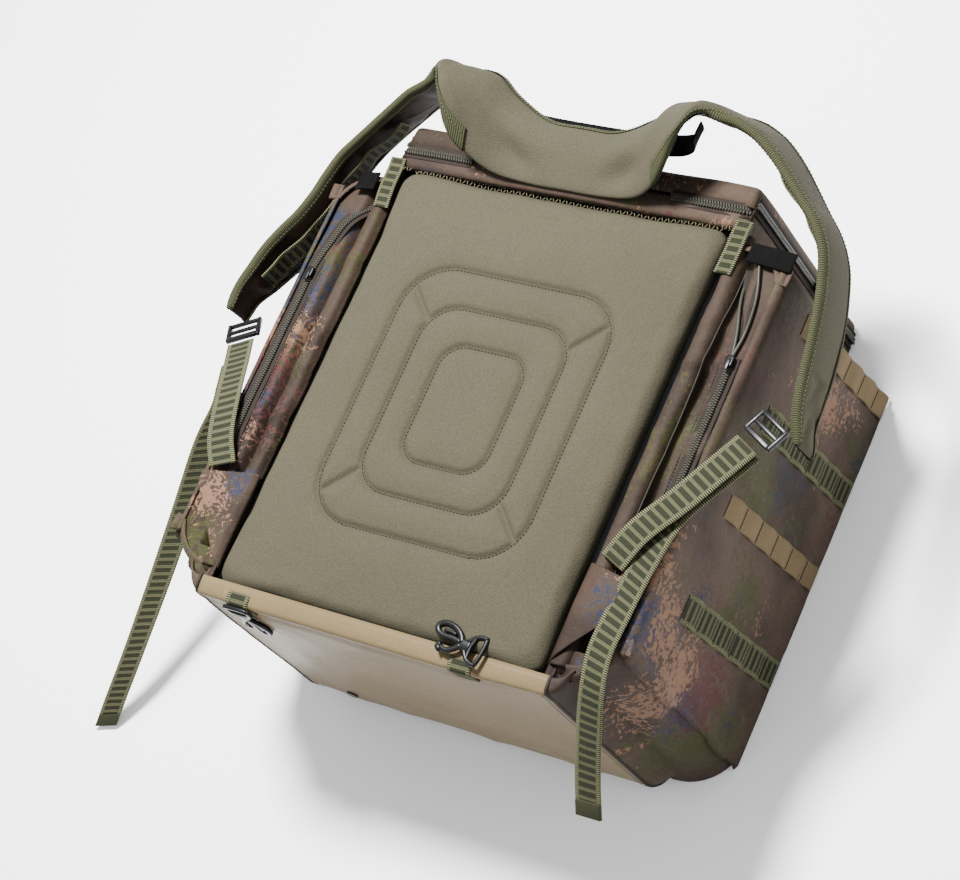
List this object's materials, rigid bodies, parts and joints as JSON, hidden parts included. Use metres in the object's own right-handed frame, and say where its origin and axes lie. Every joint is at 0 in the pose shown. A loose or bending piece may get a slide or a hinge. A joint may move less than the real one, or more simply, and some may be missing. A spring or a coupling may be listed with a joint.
{
  "type": "tackle backpack",
  "caption": "Padded fishing rucksack with hinged lid, side pockets, webbing loops, shoulder straps and hip-belt hooks, lying on its front.",
  "frame": {"origin": "middle of the flat front face that the bag lies on", "axes": "+Z from the front face to the back panel, +Y from the base to the yoke, +X across the bag to its right side"},
  "size_m": [0.8177, 0.7217, 0.3627],
  "materials": {
    "olive_knit": "matt",
    "tan_coated": "satin",
    "camo_fabric": "matt",
    "brown_lining": "satin",
    "olive_webbing": "matt",
    "tan_webbing": "matt",
    "black_webbing": "matt",
    "black_plastic": "gloss",
    "zip_coil": "satin",
    "board": "matt"
  },
  "bodies": {
    "bag": {"back_board": "board", "back_collar": "camo_fabric", "back_pad": "olive_knit", "base_board": "board", "base_cover": "tan_coated", "front_panel": "camo_fabric", "front_pocket_gusset": "camo_fabric", "front_pocket_panel": "camo_fabric", "front_rim_panel": "camo_fabric", "left_anchor_web": "olive_webbing", "left_base_foot": "black_plastic", "left_corner_tab": "olive_webbing", "left_hook_loop": "olive_webbing", "left_pocket_back": "brown_lining", "left_pocket_band": "camo_fabric", "left_pocket_front": "camo_fabric", "left_pocket_zip": "zip_coil", "left_rim_panel": "camo_fabric", "left_side_panel": "camo_fabric", "left_stabiliser_web": "black_webbing", "left_strip_1": "tan_webbing", "left_strip_2": "olive_webbing", "left_strip_3": "tan_webbing", "left_strip_4": "olive_webbing", "left_wing": "camo_fabric", "right_anchor_web": "olive_webbing", "right_base_foot": "black_plastic", "right_corner_tab": "olive_webbing", "right_hook_loop": "olive_webbing", "right_pocket_back": "brown_lining", "right_pocket_band": "camo_fabric", "right_pocket_front": "camo_fabric", "right_pocket_zip": "zip_coil", "right_rim_panel": "camo_fabric", "right_side_panel": "camo_fabric", "right_stabiliser_web": "black_webbing", "right_strip_1": "tan_webbing", "right_strip_2": "olive_webbing", "right_strip_3": "tan_webbing", "right_strip_4": "olive_webbing", "right_wing": "camo_fabric", "yoke": "olive_knit"},
    "lid": {"lid": "camo_fabric", "lid_zip_left": "zip_coil", "lid_zip_right": "zip_coil"},
    "grab_handle": {"grab_handle": "black_webbing"},
    "left_shoulder_strap": {"left_shoulder_pad": "olive_knit", "left_daisy_web": "olive_webbing", "left_web_tail": "olive_webbing"},
    "left_lock": {"left_ladder_lock": "black_plastic"},
    "left_hook": {"left_hip_hook": "black_plastic"},
    "left_side_slider": {"left_pocket_slider": "black_plastic"},
    "left_lid_slider": {"lid_slider_left": "black_plastic"},
    "right_shoulder_strap": {"right_shoulder_pad": "olive_knit", "right_daisy_web": "olive_webbing", "right_web_tail": "olive_webbing"},
    "right_lock": {"right_ladder_lock": "black_plastic"},
    "right_hook": {"right_hip_hook": "black_plastic"},
    "right_side_slider": {"right_pocket_slider": "black_plastic"},
    "right_lid_slider": {"lid_slider_right": "black_plastic"}
  },
  "joints": [
    {"name": "lid_hinge", "type": "hinge", "parent": "bag", "child": "lid", "pos_m": [0, 0.29, 0.289], "axis": [1, 0, 0], "range_deg": [0, 30]},
    {"name": "handle_swing", "type": "hinge", "parent": "bag", "child": "grab_handle", "pos_m": [0, 0.3115, 0.33], "axis": [1, 0, 0], "range_deg": [-5, 12]},
    {"name": "left_strap_lift", "type": "hinge", "parent": "bag", "child": "left_shoulder_strap", "pos_m": [-0.155, 0.345, 0.345], "axis": [-1, 0, 0], "range_deg": [0, 10]},
    {"name": "left_lock_tilt", "type": "hinge", "parent": "left_shoulder_strap", "child": "left_lock", "pos_m": [-0.32349, 0.04616, 0.25676], "axis": [-0.8798, -0.4753, 0], "range_deg": [-6, 6]},
    {"name": "left_zip_slide", "type": "slide", "parent": "bag", "child": "left_side_slider", "axis": [0, -1, 0], "range_m": [0, 0.19]},
    {"name": "left_lid_zip_slide", "type": "slide", "parent": "lid", "child": "left_lid_slider", "axis": [0, 0, 1], "range_m": [-0.1, 0.14]},
    {"name": "right_strap_lift", "type": "hinge", "parent": "bag", "child": "right_shoulder_strap", "pos_m": [0.155, 0.345, 0.345], "axis": [-1, 0, 0], "range_deg": [0, 16]},
    {"name": "right_lock_tilt", "type": "hinge", "parent": "right_shoulder_strap", "child": "right_lock", "pos_m": [0.31665, 0.05857, 0.2804], "axis": [-0.8821, 0.4711, 0], "range_deg": [-6, 6]},
    {"name": "right_zip_slide", "type": "slide", "parent": "bag", "child": "right_side_slider", "axis": [0, -1, 0], "range_m": [0, 0.12]},
    {"name": "right_lid_zip_slide", "type": "slide", "parent": "lid", "child": "right_lid_slider", "axis": [0, 0, 1], "range_m": [-0.1, 0.14]},
    {"name": "left_hook_swing", "type": "hinge", "parent": "bag", "child": "left_hook", "pos_m": [-0.155, -0.256, 0.284], "axis": [-1, 0, 0], "range_deg": [0, 235]},
    {"name": "right_hook_swing", "type": "hinge", "parent": "bag", "child": "right_hook", "pos_m": [0.112, -0.256, 0.284], "axis": [1, 0, 0], "range_deg": [0, 200]}
  ]
}
